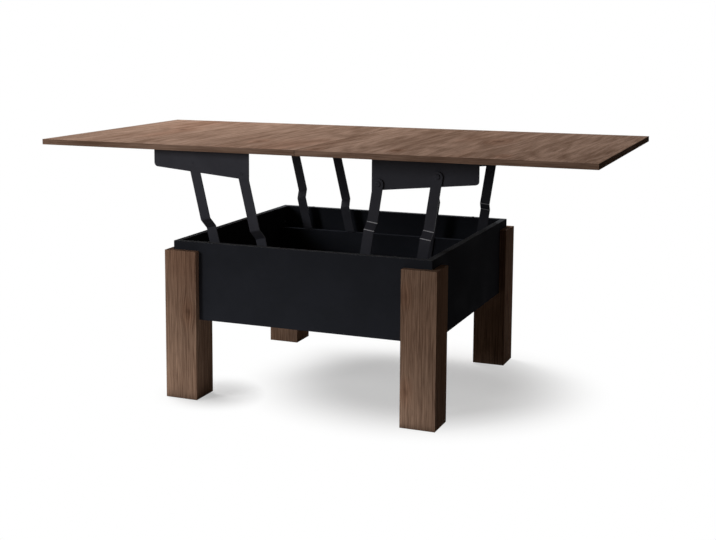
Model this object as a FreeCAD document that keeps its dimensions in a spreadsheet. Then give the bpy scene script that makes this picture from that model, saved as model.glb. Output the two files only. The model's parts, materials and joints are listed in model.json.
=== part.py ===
"""Convertible coffee and dining table, shown raised and unfolded.

Two square leaves make the dining top.  The left leaf hangs on a parallel linkage of four jogged arms that
swings it down over the storage box.  The right leaf folds over onto the left one, and while it is unfolded
it rests on a support frame that a second linkage lifts out of the box.

Millimetres.  The origin is on the floor under the middle of the table, +X runs along the unfolded top,
+Z up, and the front is at -Y.
"""
import FreeCAD
import Part
import Sketcher
import os
import re
from FreeCAD import Placement, Rotation, Vector

# Driving sizes: name, value in millimetres or degrees, meaning
SIZES = [
    ("leaf_length", 820, "one leaf along the unfolded top"),
    ("leaf_depth", 820, "one leaf from front to back"),
    ("leaf_thick", 16, "board of a leaf"),
    ("top_height", 742, "top face above the floor, raised"),
    ("seam_gap", 0.6, "joint between the two leaves"),
    ("edge_round", 0.6, "rounding of the boards' edges"),
    ("box_size", 778, "storage box, outside, both ways"),
    ("box_bottom", 237, "underside of the box above the floor"),
    ("box_height", 226, "height of the box walls"),
    ("wall_thick", 18, "box walls"),
    ("floor_thick", 16, "box floor"),
    ("leg_side", 100, "section of a leg"),
    ("leg_proud", 19.5, "leg outside the box wall"),
    ("leg_below_rim", 25, "top of a leg below the rim"),
    ("glide_radius", 20, "glide under a leg"),
    ("glide_thick", 3, "glide under a leg"),
    ("glide_inset", 35, "glide centre from the leg's outer faces"),
    ("outer_lane", 48.2, "free space between a rail and the box wall"),
    ("rail_thick", 16, "inner rail"),
    ("rail_height", 145, "inner rail above the box floor"),
    ("arm_width", 30, "flat bar of an arm"),
    ("arm_thick", 4, "flat bar of an arm"),
    ("arm_gap", 1, "space for the washer beside an arm"),
    ("bend_radius", 4, "inside of a bend in an arm"),
    ("end_margin", 0.05, "flat left on an arm's rounded end"),
    ("plate_thick", 3, "sheet of a hanging plate"),
    ("flange_width", 26, "flange along the top of a hanging plate"),
    ("fold_radius", 4, "outside of the bend between a hanging plate and its flange"),
    ("left_plate_length", 305, "left plate along the top"),
    ("left_drop_thick", 81, "left plate at its thick end, below the leaf"),
    ("left_drop_thin", 54, "left plate at its thin end, below the leaf"),
    ("left_corner", 12, "rounded corner of a left plate"),
    ("left_pivot_inset", 22.2, "inner pivot from the thick end"),
    ("left_pivot_drop", 64, "inner pivot below the leaf"),
    ("left_pivot_step", 157.3, "outer pivot beyond the inner one"),
    ("left_pivot_rise", 24, "outer pivot above the inner one"),
    ("left_base_inset", 105.3, "outer lower pivot from the box wall"),
    ("left_base_rise", 102.7, "outer lower pivot above the box floor"),
    ("left_lean", 13.25, "outward lean of the raised left arms, degrees"),
    ("left_jog", 24.2, "sideways step of a left arm"),
    ("left_jog_drop", 165.3, "step below the upper pivot"),
    ("left_jog_rise", 26, "height of the step"),
    ("right_plate_length", 305, "right plate along the top"),
    ("right_drop_thick", 101, "right plate at its thick end, below the leaf"),
    ("right_drop_thin", 70.4, "right plate at its thin end, below the leaf"),
    ("right_corner", 10, "rounded corner of a right plate"),
    ("right_pivot_inset", 20.1, "inner pivot from the thick end"),
    ("right_pivot_drop", 81.6, "inner pivot below the leaf"),
    ("right_pivot_step", 169.8, "outer pivot beyond the inner one"),
    ("right_pivot_rise", 28.1, "outer pivot above the inner one"),
    ("right_base_inset", 55.6, "outer lower pivot from the box wall"),
    ("right_base_rise", 75.1, "outer lower pivot above the box floor"),
    ("right_lean", 8.5, "outward lean of the raised right arms, degrees"),
    ("right_jog", 19.3, "sideways step of a right arm"),
    ("right_inner_jog_drop", 109.2, "inner arm's step below the upper pivot"),
    ("right_outer_jog_drop", 152.2, "outer arm's step below the upper pivot"),
    ("right_jog_rise", 20, "height of the step"),
    ("stud_radius", 1.6, "flat rivet in a right plate"),
    ("stud_head_radius", 3.2, "flat rivet in a right plate"),
    ("stud_head_height", 0.7, "flat rivet, thinner than the arm's gap"),
    ("stud_inset", 12, "flat rivet from the thin end"),
    ("stud_drop", 58, "flat rivet below the leaf"),
    ("pad_thick", 3, "pad on a right plate"),
    ("pad_gap", 0.5, "room between the pad and the leaf"),
    ("pad_inset", 8, "pad from the ends of the plate"),
    ("tie_width", 25, "tie bar along the top"),
    ("tie_thick", 12, "tie bar, height"),
    ("tie_inset", 30, "tie bar from the ends of the plate"),
    ("pivot_radius", 4, "pivot bolts and rivets"),
    ("pivot_clearance", 0.05, "running clearance of an arm on its pivot"),
    ("pivot_grip", 12, "pivot bolt in the rail"),
    ("pivot_head_radius", 8, "head of a pivot"),
    ("pivot_head_height", 2.6, "head of a pivot"),
    ("side_play", 0.2, "side play of an arm"),
    ("washer_radius", 9, "washer on a pivot"),
    ("fit_gap", 0.02, "fixed piece in its hole"),
    ("stop_radius", 5, "stop of an outer arm"),
    ("stop_length", 6, "stop of an outer arm"),
    ("stop_distance", 30, "stop above the lower pivot, along the arm"),
    ("stop_gap", 0.3, "arm to its stop"),
    ("hinge_radius", 6, "barrel hinge cup"),
    ("hinge_depth", 20, "barrel hinge cup"),
    ("hinge_wall", 1.5, "barrel hinge cup"),
    ("hinge_floor", 3, "barrel hinge cup"),
    ("hinge_inset", 110, "outer hinges from the ends of the seam"),
    ("link_size", 5, "folded link pack in a hinge"),
    ("link_length", 14, "folded link pack in a hinge"),
    ("screw_radius", 2, "plate and tie screws"),
    ("screw_length", 11, "plate and tie screws"),
    ("screw_head_radius", 4, "plate and tie screws"),
    ("screw_head_height", 2.2, "plate and tie screws"),
    ("screw_inset", 25, "end screws from the plate's ends"),
    ("joint_screw_radius", 2.5, "corner and rail screws"),
    ("joint_screw_length", 45, "corner and rail screws"),
    ("joint_head_radius", 5, "corner and rail screws"),
    ("joint_head_height", 4, "corner and rail screws"),
    ("joint_screw_edge", 40, "corner and rail screws from the edges"),
    ("dowel_radius", 4, "floor dowels"),
    ("dowel_length", 30, "floor dowels"),
    ("dowel_grip", 10, "floor dowel in the wall"),
    ("dowel_inset", 141, "outer dowels from the corners of the floor"),
    ("bolt_radius", 3, "leg bolts"),
    ("bolt_grip", 15, "leg bolt in the leg"),
    ("bolt_head_radius", 6, "leg bolts"),
    ("bolt_head_height", 3, "leg bolts"),
    ("bolt_inset", 44, "leg bolts from the box corner"),
    ("bolt_margin", 55, "leg bolts from the ends of the notch"),
    ("bumper_radius", 6, "bumpers on the rim"),
    ("bumper_height", 1.7, "bumpers on the rim"),
    ("bumper_inset", 109, "bumpers from the corners of the box"),
    ("overrun", 2, "length of a cutting tool past the face"),
]
ALIASES = {alias for alias, _, _ in SIZES}

# Places and sizes that follow from the driving ones
DERIVED = {
    "underside": "top_height - leaf_thick",
    "half_box": "box_size / 2",
    "half_room": "half_box - wall_thick",
    "rim": "box_bottom + box_height",
    "floor_top": "box_bottom + floor_thick",
    "leg_outer": "half_box + leg_proud",
    "leg_top": "rim - leg_below_rim",
    "rail_outer": "half_room - outer_lane",
    "rail_inner": "rail_outer - rail_thick",
    "rail_middle": "rail_outer - rail_thick / 2",
    "left_low_plane": "rail_outer + arm_gap + arm_thick / 2",
    "left_high_plane": "left_low_plane + left_jog",
    "left_plate_face": "left_high_plane + arm_thick / 2 + arm_gap",
    "right_low_plane": "rail_inner - arm_gap - arm_thick / 2",
    "right_high_plane": "right_low_plane - right_jog",
    "right_plate_face": "right_high_plane - arm_thick / 2 - arm_gap",
    "left_outer_base_x": "-half_room + left_base_inset",
    "left_outer_base_z": "floor_top + left_base_rise",
    "left_inner_base_x": "left_outer_base_x + left_pivot_step",
    "left_inner_base_z": "left_outer_base_z - left_pivot_rise",
    "left_inner_top_z": "underside - left_pivot_drop",
    "left_outer_top_z": "left_inner_top_z + left_pivot_rise",
    "left_lift": "left_outer_top_z - left_outer_base_z",
    "left_shift": "left_lift * tan(left_lean)",
    "left_arm_length": "left_lift / cos(left_lean)",
    "left_outer_top_x": "left_outer_base_x - left_shift",
    "left_inner_top_x": "left_inner_base_x - left_shift",
    "left_plate_start": "-left_inner_top_x - left_pivot_inset",
    "right_outer_base_x": "half_room - right_base_inset",
    "right_outer_base_z": "floor_top + right_base_rise",
    "right_inner_base_x": "right_outer_base_x - right_pivot_step",
    "right_inner_base_z": "right_outer_base_z - right_pivot_rise",
    "right_inner_top_z": "underside - right_pivot_drop",
    "right_outer_top_z": "right_inner_top_z + right_pivot_rise",
    "right_lift": "right_outer_top_z - right_outer_base_z",
    "right_shift": "right_lift * tan(right_lean)",
    "right_arm_length": "right_lift / cos(right_lean)",
    "right_outer_top_x": "right_outer_base_x + right_shift",
    "right_inner_top_x": "right_inner_base_x + right_shift",
    "right_plate_start": "right_inner_top_x - right_pivot_inset",
    "right_plate_top": "underside - pad_gap - pad_thick",
    "hinge_reach": "leaf_depth / 2 - hinge_inset",
    "dowel_reach": "half_room - dowel_inset",
    "bumper_reach": "half_box - bumper_inset",
    "stop_offset": "arm_width / 2 + stop_radius + stop_gap",
    "washer_thick": "arm_gap - side_play",
}

TURNS = {
    "+X": Rotation(Vector(0, 0, 1), Vector(1, 0, 0)),
    "-X": Rotation(Vector(0, 0, 1), Vector(-1, 0, 0)),
    "+Y": Rotation(Vector(0, 0, 1), Vector(0, 1, 0)),
    "-Y": Rotation(Vector(0, 0, 1), Vector(0, -1, 0)),
    "+Z": Rotation(),
    "-Z": Rotation(Vector(0, 0, 1), Vector(0, 0, -1)),
}
PIVOT_HEAD = ("pivot_head_radius", "pivot_head_height")
PLATE_SCREWS = 4
ACROSS_FRONT = Vector(0, 1, 0)
ACROSS_SIDE = Vector(1, 0, 0)

doc = FreeCAD.newDocument("coffee_dining_table")
sheet = doc.addObject("Spreadsheet::Sheet", "sizes")
for row, (alias, number, meaning) in enumerate(SIZES, start=1):
    sheet.set("A%d" % row, meaning)
    sheet.set("B%d" % row, str(number))
    sheet.setAlias("B%d" % row, alias)
doc.recompute()

nodes = {}


def expand(text):
    """Put each named size's cell, or a derived name's own sum, into an expression."""
    def swap(match):
        word = match.group(0)
        if word in DERIVED:
            return "(" + expand(DERIVED[word]) + ")"
        return "sizes." + word if word in ALIASES else word
    return re.sub(r"[a-z_]+", swap, text)


def value(text):
    """Work out an expression of named sizes now."""
    return float(sheet.evalExpression(expand(text)))


def bind(obj, expressions):
    """Tie properties of an object to expressions of named sizes."""
    for path, text in expressions.items():
        obj.setExpression(path, expand(text))
    return obj


def place(obj, at):
    """Tie an object's place to three expressions."""
    return bind(obj, {"Placement.Base." + axis: text for axis, text in zip("xyz", at)})


def keep(label, obj):
    """Name a finished piece, which is written to its own file."""
    obj.Label = label
    nodes[label] = obj
    return obj


def board(name, at, size):
    """A board with lightly rounded edges, from its low corner."""
    body = doc.addObject("PartDesign::Body", name + "_body")
    block = body.newObject("PartDesign::AdditiveBox", name + "_block")
    bind(block, dict(zip(("Length", "Width", "Height"), size)))
    rounding = body.newObject("PartDesign::Fillet", name + "_edges")
    rounding.Base = (block, ["Edge1"])
    rounding.UseAllEdges = True
    bind(rounding, {"Radius": "edge_round"})
    return place(body, at)


def block(name, at, size):
    """A plain box from its low corner."""
    box = doc.addObject("Part::Box", name)
    bind(box, dict(zip(("Length", "Width", "Height"), size)))
    return place(box, at)


def rod(name, at, axis, radius, length):
    """A round rod that starts at a point and runs along an axis."""
    cylinder = doc.addObject("Part::Cylinder", name)
    cylinder.Placement = Placement(Vector(), TURNS[axis])
    bind(cylinder, {"Radius": radius, "Height": length})
    return place(cylinder, at)


def fuse(name, pieces):
    """Join pieces into one solid."""
    joined = doc.addObject("Part::MultiFuse", name)
    joined.Shapes = pieces
    return joined


def cut(name, base, tools):
    """Take tools out of a piece."""
    result = doc.addObject("Part::Cut", name)
    result.Base = base
    result.Tool = tools[0] if len(tools) == 1 else fuse(name + "_tools", tools)
    return result


def group(name, pieces):
    """Keep separate solids together."""
    compound = doc.addObject("Part::Compound", name)
    compound.Links = pieces
    return compound


def mirrored(name, source, across):
    """The same piece on the other side of the table."""
    mirror = doc.addObject("Part::Mirroring", name)
    mirror.Source = source
    mirror.Normal = across
    return mirror


def both_sides(label, front):
    """A group of front pieces together with their mirror images at the back."""
    half = group(label + "_front_half", front)
    keep(label, group(label + "_group", [half, mirrored(label + "_back_half", half, ACROSS_FRONT)]))


def all_corners(label, pieces):
    """A group of front left pieces repeated at all four corners."""
    corner = group(label + "_corner", pieces)
    front = [corner, mirrored(label + "_beside", corner, ACROSS_SIDE)]
    both_sides(label, front)


def moved(at, axis, distance):
    """A point of expressions carried along a signed axis."""
    shifted = list(at)
    index = "XYZ".index(axis[1])
    shifted[index] = "%s %s (%s)" % (at[index], axis[0], distance)
    return tuple(shifted)


def turned(axis):
    """The opposite of a signed axis."""
    return ("-" if axis[0] == "+" else "+") + axis[1]


def fastener(name, seat, axis, head, shank):
    """A headed fastener: its head stands on the seat and its shank runs along the axis.

    head and shank are (radius, length) pairs of expressions.
    """
    cap = rod(name + "_head", seat, turned(axis), *head)
    stem = rod(name + "_shank", seat, axis, *shank)
    return fuse(name, [cap, stem])


def outline(body, plane, corners):
    """A closed outline on one of the body's own planes, each corner tied to its two expressions."""
    sketch = body.newObject("Sketcher::SketchObject", body.Name + "_outline")
    support = next(feature for feature in body.Origin.OriginFeatures if feature.Role == plane)
    sketch.AttachmentSupport = (support, [""])
    sketch.MapMode = "FlatFace"
    points = [Vector(value(across), value(up), 0) for across, up in corners]
    for start, end in zip(points, points[1:] + points[:1]):
        sketch.addGeometry(Part.LineSegment(start, end))
    for index, texts in enumerate(corners):
        previous = (index - 1) % len(corners)
        sketch.addConstraint(Sketcher.Constraint("Coincident", previous, 2, index, 1))
        for kind, axis, text in zip(("DistanceX", "DistanceY"), (-2, -1), texts):
            if text == "0":
                sketch.addConstraint(Sketcher.Constraint("PointOnObject", index, 1, axis))
                continue
            rule = Sketcher.Constraint(kind, -1, 1, index, 1, value(text))
            sketch.setExpression("Constraints[%d]" % sketch.addConstraint(rule), expand(text))
    return sketch


def pad(body, sketch, length, side_type="One side"):
    """Thicken an outline into the body's solid."""
    feature = body.newObject("PartDesign::Pad", body.Name + "_pad")
    feature.Profile = sketch
    feature.SideType = side_type
    bind(feature, {"Length": length})
    doc.recompute()
    return feature


def round_edges(body, feature, wanted, radius):
    """Round those edges of a feature whose middle satisfies a test."""
    names = []
    for number, edge in enumerate(feature.Shape.Edges, start=1):
        if wanted(edge.CenterOfMass):
            names.append("Edge%d" % number)
    rounding = body.newObject("PartDesign::Fillet", body.Name + "_round")
    rounding.Base = (feature, names)
    bind(rounding, {"Radius": radius})
    doc.recompute()
    return rounding


# Storage box

def box_walls():
    """Four walls and a floor, with holes for their screws, dowels and bolts."""
    screws = corner_screw_places()
    front_screws = [screw_hole("corner_hole_%d" % i, *screw) for i, screw in enumerate(screws)]
    side_tools = [screw_hole("corner_pilot_%d" % i, *screw) for i, screw in enumerate(screws)]
    front = board("front_wall", ("-half_box", "-half_box", "box_bottom"),
                  ("box_size", "wall_thick", "box_height"))
    side = board("side_wall", ("-half_box", "-half_room", "box_bottom"),
                 ("wall_thick", "2 * half_room", "box_height"))
    base = board("floor_board", ("-half_room", "-half_room", "box_bottom"),
                 ("2 * half_room", "2 * half_room", "floor_thick"))
    front_tools = mirror_pair("front_screw_tools", front_screws, ACROSS_SIDE)
    front_tools += mirror_pair("front_bolt_tools", bolt_holes("front_bolt_hole", "front"), ACROSS_SIDE)
    front_tools += dowel_rods("front_dowel_hole", "front", "dowel_radius + fit_gap")
    side_tools += bolt_holes("side_bolt_hole", "side")
    side_tools += [screw_hole("rail_hole_%d" % i, *screw) for i, screw in enumerate(rail_screw_places())]
    side_tools = mirror_pair("side_front_tools", side_tools, ACROSS_FRONT)
    side_tools += dowel_rods("side_dowel_hole", "side", "dowel_radius + fit_gap")
    front_dowels = group("floor_front_tools",
                         dowel_rods("floor_front_hole", "front", "dowel_radius + fit_gap"))
    side_dowels = group("floor_side_tools",
                        dowel_rods("floor_side_hole", "side", "dowel_radius + fit_gap"))
    floor_tools = [front_dowels, mirrored("floor_back_tools", front_dowels, ACROSS_FRONT),
                   side_dowels, mirrored("floor_right_tools", side_dowels, ACROSS_SIDE)]
    front_panel = keep("front_panel", cut("front_panel_cut", front, front_tools))
    keep("back_panel", mirrored("back_panel_mirror", front_panel, ACROSS_FRONT))
    left_panel = keep("left_panel", cut("left_panel_cut", side, side_tools))
    keep("right_panel", mirrored("right_panel_mirror", left_panel, ACROSS_SIDE))
    keep("box_floor", cut("box_floor_cut", base, floor_tools))


def mirror_pair(name, pieces, across):
    """Pieces in one group, and the same on the other side."""
    half = group(name, pieces)
    return [half, mirrored(name + "_mirror", half, across)]


def screw_hole(name, seat, axis):
    """The hole of a corner or rail screw, with a counterbore for its head."""
    return fastener(name, seat, axis, ("joint_head_radius + fit_gap", "joint_head_height + overrun"),
                    ("joint_screw_radius + fit_gap", "joint_screw_length"))


def corner_screw_places():
    """Seats of the screws through the front wall into the left wall: low, middle and high."""
    across = "-half_box + wall_thick / 2"
    seat = "-half_box + joint_head_height"
    heights = ("box_bottom + joint_screw_edge", "(box_bottom + leg_top) / 2",
               "leg_top - joint_screw_edge / 2")
    return [((across, seat, height), "+Y") for height in heights]


def rail_screw_places():
    """Seats of the screws through the left wall into the front rail: low and high."""
    seat = "-half_box + joint_head_height"
    heights = ("floor_top + joint_screw_edge", "floor_top + rail_height - joint_screw_edge / 2")
    return [((seat, "-rail_middle", height), "+X") for height in heights]


def bolt_places(wall):
    """Seats of the bolts of the front left leg inside the front or the side wall: low and high."""
    heights = ("box_bottom + bolt_margin", "leg_top - bolt_margin / 2")
    seat, along = "-half_room", "-half_box + bolt_inset"
    if wall == "front":
        return [((along, seat, height), "-Y") for height in heights]
    return [((seat, along, height), "-X") for height in heights]


def bolt_holes(name, wall):
    """Holes of the leg bolts through a wall and into the leg."""
    return [rod("%s_%d" % (name, i), moved(seat, turned(axis), "overrun"), axis, "bolt_radius + fit_gap",
                "overrun + wall_thick + bolt_grip")
            for i, (seat, axis) in enumerate(bolt_places(wall))]


def dowel_rods(name, wall, radius):
    """Rods where the floor is dowelled to the front or the left wall."""
    height = "box_bottom + floor_thick / 2"
    start = "-half_room - dowel_grip"
    rods = []
    for i, along in enumerate(("-dowel_reach", "0", "dowel_reach")):
        at = (along, start, height) if wall == "front" else (start, along, height)
        rods.append(rod("%s_%d" % (name, i), at, "+Y" if wall == "front" else "+X", radius, "dowel_length"))
    return rods


def rails():
    """The inner rails that carry the arms' lower pivots."""
    front = board("rail", ("-half_room", "-rail_outer", "floor_top"),
                  ("2 * half_room", "rail_thick", "rail_height"))
    pilots = [screw_hole("rail_pilot_%d" % i, *screw) for i, screw in enumerate(rail_screw_places())]
    tools = mirror_pair("rail_screw_tools", pilots, ACROSS_SIDE)
    for side, hand in (("left", "outer"), ("left", "inner"), ("right", "outer"), ("right", "inner")):
        seat, axis = base_pivot(side, hand)
        tools.append(rod("%s_%s_pivot_hole" % (side, hand), moved(seat, turned(axis), "overrun"), axis,
                         "pivot_radius + fit_gap", "pivot_grip + overrun"))
    front_rail = keep("front_rail", cut("front_rail_cut", front, tools))
    keep("back_rail", mirrored("back_rail_mirror", front_rail, ACROSS_FRONT))


def box_fixings():
    """Corner screws, rail screws, floor dowels and leg bolts."""
    head, shank = ("joint_head_radius", "joint_head_height"), ("joint_screw_radius", "joint_screw_length")
    corner = [fastener("corner_screw_%d" % i, seat, axis, head, shank)
              for i, (seat, axis) in enumerate(corner_screw_places())]
    all_corners("panel_screws", corner)
    rail = [fastener("rail_screw_%d" % i, seat, axis, head, shank)
            for i, (seat, axis) in enumerate(rail_screw_places())]
    all_corners("rail_screws", rail)
    bolt_head = ("bolt_head_radius", "bolt_head_height")
    bolt_shank = ("bolt_radius", "wall_thick + bolt_grip")
    bolts = [fastener("%s_bolt_%d" % (wall, i), seat, axis, bolt_head, bolt_shank)
             for wall in ("front", "side") for i, (seat, axis) in enumerate(bolt_places(wall))]
    all_corners("leg_bolts", bolts)
    front = group("front_dowels", dowel_rods("front_dowel", "front", "dowel_radius"))
    side = group("side_dowels", dowel_rods("side_dowel", "side", "dowel_radius"))
    back = mirrored("back_dowels", front, ACROSS_FRONT)
    right = mirrored("right_dowels", side, ACROSS_SIDE)
    keep("floor_dowels", group("floor_dowels_group", [front, back, side, right]))


def rim_bumpers():
    """Round bumpers on the front and back rim, under the lowered leaf."""
    across = "-half_box + wall_thick / 2"
    front = [rod("bumper_%d" % i, (along, across, "rim"), "+Z", "bumper_radius", "bumper_height")
             for i, along in enumerate(("-bumper_reach", "bumper_reach"))]
    both_sides("rim_bumpers", front)


# Legs

def legs():
    """Square legs whose tops are notched round the corners of the box."""
    post = board("leg_post", ("-leg_outer", "-leg_outer", "glide_thick"),
                 ("leg_side", "leg_side", "leg_top - glide_thick"))
    notch = block("leg_notch", ("-half_box", "-half_box", "box_bottom"),
                  ("leg_side", "leg_side", "box_height"))
    tools = [notch] + bolt_holes("leg_front_hole", "front") + bolt_holes("leg_side_hole", "side")
    front_left = keep("front_left_leg", cut("front_left_leg_cut", post, tools))
    front_right = keep("front_right_leg", mirrored("front_right_leg_mirror", front_left, ACROSS_SIDE))
    keep("back_left_leg", mirrored("back_left_leg_mirror", front_left, ACROSS_FRONT))
    keep("back_right_leg", mirrored("back_right_leg_mirror", front_right, ACROSS_FRONT))
    glide = rod("glide", ("-leg_outer + glide_inset", "-leg_outer + glide_inset", "0"), "+Z",
                "glide_radius", "glide_thick")
    all_corners("leg_glides", [glide])


# Lift linkages

def base_pivot(side, hand):
    """Seat and direction of a front arm's lower pivot bolt, on the rail's face."""
    face = "-rail_outer" if side == "left" else "-rail_inner"
    seat = ("%s_%s_base_x" % (side, hand), face, "%s_%s_base_z" % (side, hand))
    return seat, "+Y" if side == "left" else "-Y"


def top_pivot(side, hand):
    """Seat and direction of a front arm's upper pivot rivet, on the plate's face towards the arm."""
    face = "-%s_plate_face" % side
    seat = ("%s_%s_top_x" % (side, hand), face, "%s_%s_top_z" % (side, hand))
    return seat, "-Y" if side == "left" else "+Y"


def arm(side, hand):
    """A pair of jogged flat-bar arms, leaning outwards, with their pivot holes.

    The bar is drawn upright with its lower end at the origin.  The left arms step outwards and are drawn at
    the back, the right arms step inwards and are drawn at the front, so that both step towards +Y.
    """
    name = "%s_%s_arm" % (side, hand)
    jog, rise = side + "_jog", side + "_jog_rise"
    drop = "left_jog_drop" if side == "left" else "right_%s_jog_drop" % hand
    high = "arm_width / 2 + %s_arm_length - %s" % (side, drop)
    low = "%s - %s" % (high, rise)
    end = "%s_arm_length + arm_width" % side
    miter = "arm_thick / 2 * tan(atan(%s / %s) / 2)" % (jog, rise)
    corners = [("0", "0"), ("arm_thick", "0"), ("arm_thick", "%s - %s" % (low, miter)),
               ("%s + arm_thick" % jog, "%s - %s" % (high, miter)), ("%s + arm_thick" % jog, end),
               (jog, end), (jog, "%s + %s" % (high, miter)), ("0", "%s + %s" % (low, miter))]
    body = doc.addObject("PartDesign::Body", name + "_body")
    bar = pad(body, outline(body, "YZ_Plane", corners), "arm_width", "Symmetric")
    bar = round_edges(body, bar, end_edges(value(end)), "arm_width / 2 - end_margin")
    inner = [corners[2], corners[6]]
    outer = [corners[3], corners[7]]
    for bends, radius in ((inner, "bend_radius"), (outer, "bend_radius + arm_thick")):
        bar = round_edges(body, bar, bend_edges(bends), radius)
    lean = "-left_lean" if side == "left" else "right_lean"
    plane = "left_low_plane" if side == "left" else "-right_low_plane"
    base = "%s_%s_base" % (side, hand)
    body.Placement = Placement(Vector(), Rotation(Vector(0, 1, 0), value(lean)))
    bind(body, {"Placement.Rotation.Angle": lean})
    place(body, ("%s_x - arm_width / 2 * sin(%s)" % (base, lean), "%s - arm_thick / 2" % plane,
                 "%s_z - arm_width / 2 * cos(%s)" % (base, lean)))
    holes = []
    for end_name in ("base", "top"):
        at = ("%s_%s_%s_x" % (side, hand, end_name), "%s - overrun - arm_thick" % plane,
              "%s_%s_%s_z" % (side, hand, end_name))
        holes.append(rod("%s_%s_bore" % (name, end_name), at, "+Y", "pivot_radius + pivot_clearance",
                         "%s + 2 * arm_thick + 2 * overrun" % jog))
    drilled = cut(name + "_cut", body, holes)
    drawn, other = ("back", "front") if side == "left" else ("front", "back")
    keep("%s_%s" % (name, drawn), drilled)
    keep("%s_%s" % (name, other), mirrored("%s_%s_mirror" % (name, other), drilled, ACROSS_FRONT))


def end_edges(reach):
    """A test for the short edges at the two ends of an upright bar."""
    near, half = value("end_margin"), value("arm_width / 2")
    return lambda middle: half - abs(middle.x) < near and min(middle.z, reach - middle.z) < near


def bend_edges(bends):
    """A test for the edges across a bar at its bends."""
    spots = [Vector(0, value(across), value(up)) for across, up in bends]
    near = value("end_margin")
    return lambda middle: any(middle.distanceToPoint(spot) < near for spot in spots)


def base_pivots(side):
    """Lower pivot bolts, washers and the stops of the raised arms, on the rails."""
    bolts, washers = [], []
    for hand in ("outer", "inner"):
        seat, axis = base_pivot(side, hand)
        out = turned(axis)
        reach = "arm_gap + arm_thick + side_play"
        head = moved(seat, out, reach)
        bolts.append(fastener("%s_%s_base_bolt" % (side, hand), head, axis, PIVOT_HEAD,
                              ("pivot_radius", "%s + pivot_grip" % reach)))
        washers.append(washer("%s_%s_base_washer" % (side, hand), seat, out))
    both_sides(side + "_base_pins", bolts)
    both_sides(side + "_base_washers", washers)


def washer(name, seat, out):
    """A washer on a pivot, from its seat outwards."""
    disc = rod(name + "_disc", seat, out, "washer_radius", "washer_thick")
    bore = rod(name + "_bore", moved(seat, turned(out), "overrun"), out, "pivot_radius + fit_gap",
               "washer_thick + 2 * overrun")
    return cut(name, disc, [bore])


def arm_stops():
    """Stub stops beside the outer arms, which hold the raised linkages."""
    stops = []
    for side, sign, lean in (("left", "-", "left_lean"), ("right", "+", "right_lean")):
        seat, axis = base_pivot(side, "outer")
        across, face, up = seat
        along = "%s %s stop_distance * sin(%s) %s stop_offset * cos(%s)" % (across, sign, lean, sign, lean)
        above = "%s + stop_distance * cos(%s) - stop_offset * sin(%s)" % (up, lean, lean)
        at = (along, face, above)
        stops.append(rod(side + "_stop", at, turned(axis), "stop_radius", "stop_length"))
    both_sides("arm_stops", stops)


# Hanging plates

def hanging_plate(side):
    """A plate with a sloping lower edge and a flange bent inwards along its top, at the front."""
    name = side + "_plate"
    length, drop = side + "_plate_length", side + "_drop_thick"
    top = "underside" if side == "left" else "right_plate_top"
    height = "%s - (underside - %s)" % (top, drop)
    step = "%s - %s_drop_thin" % (drop, side)
    thin_first = side == "left"
    low_first, low_last = (step, "0") if thin_first else ("0", step)
    body = doc.addObject("PartDesign::Body", name + "_body")
    sheet_metal = pad(body, outline(body, "XZ_Plane", [
        ("0", low_first), (length, low_last), (length, height), ("0", height)]), "plate_thick")
    spot = Vector(0 if thin_first else value(length), value("-plate_thick / 2"), value(step))
    near = value("end_margin")
    round_edges(body, sheet_metal, lambda middle: middle.distanceToPoint(spot) < near, side + "_corner")
    flange = body.newObject("PartDesign::AdditiveBox", name + "_flange")
    bind(flange, {"Length": length, "Width": "flange_width", "Height": "plate_thick"})
    place(flange, ("0", "-plate_thick", "%s - plate_thick" % height))
    doc.recompute()
    fold = Vector(value(length) / 2, value("-plate_thick"), value(height))
    round_edges(body, flange, lambda middle: middle.distanceToPoint(fold) < near, "fold_radius")
    outer_face = "-left_plate_face" if side == "left" else "-right_plate_face + plate_thick"
    start = "-left_plate_start - left_plate_length" if side == "left" else "right_plate_start"
    place(body, (start, outer_face, "underside - %s" % drop))
    tools = []
    for hand in ("outer", "inner"):
        seat, axis = top_pivot(side, hand)
        tools.append(rod("%s_%s_hole" % (name, hand), moved(seat, turned(axis), "overrun"), axis,
                         "pivot_radius + fit_gap", "plate_thick + 2 * overrun"))
    return body, tools


def plate_screw_places():
    """Seats of the screws through a left plate's flange, evenly spaced along it."""
    first = "-left_plate_start - left_plate_length + screw_inset"
    pitch = "(left_plate_length - 2 * screw_inset) / %d" % (PLATE_SCREWS - 1)
    across = "-left_plate_face - plate_thick + flange_width / 2 + plate_thick / 2"
    seat = "underside - plate_thick"
    return [("%s + %d * %s" % (first, i, pitch), across, seat) for i in range(PLATE_SCREWS)]


def tie_screw_places():
    """Seats of the screws through a right plate's flange into the tie bars."""
    across = "-right_plate_face + flange_width / 2 + plate_thick / 2"
    return [(along, across, "right_plate_top") for along in tie_middles()]


def tie_middles():
    """Middles of the two tie bars along the top."""
    return ("right_plate_start + tie_inset", "right_plate_start + right_plate_length - tie_inset")


def left_plates():
    """Left plates, screwed to the left leaf, with their rivets and washers."""
    body, tools = hanging_plate("left")
    for i, seat in enumerate(plate_screw_places()):
        tools.append(rod("left_flange_hole_%d" % i, moved(seat, "-Z", "overrun"), "+Z",
                         "screw_radius + fit_gap", "plate_thick + 2 * overrun"))
    front = keep("left_plate_front", cut("left_plate_front_cut", body, tools))
    keep("left_plate_back", mirrored("left_plate_back_mirror", front, ACROSS_FRONT))
    screws = [fastener("plate_screw_%d" % i, seat, "+Z", ("screw_head_radius", "screw_head_height"),
                       ("screw_radius", "screw_length")) for i, seat in enumerate(plate_screw_places())]
    both_sides("left_plate_screws", screws)
    top_pins("left", [])


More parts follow.
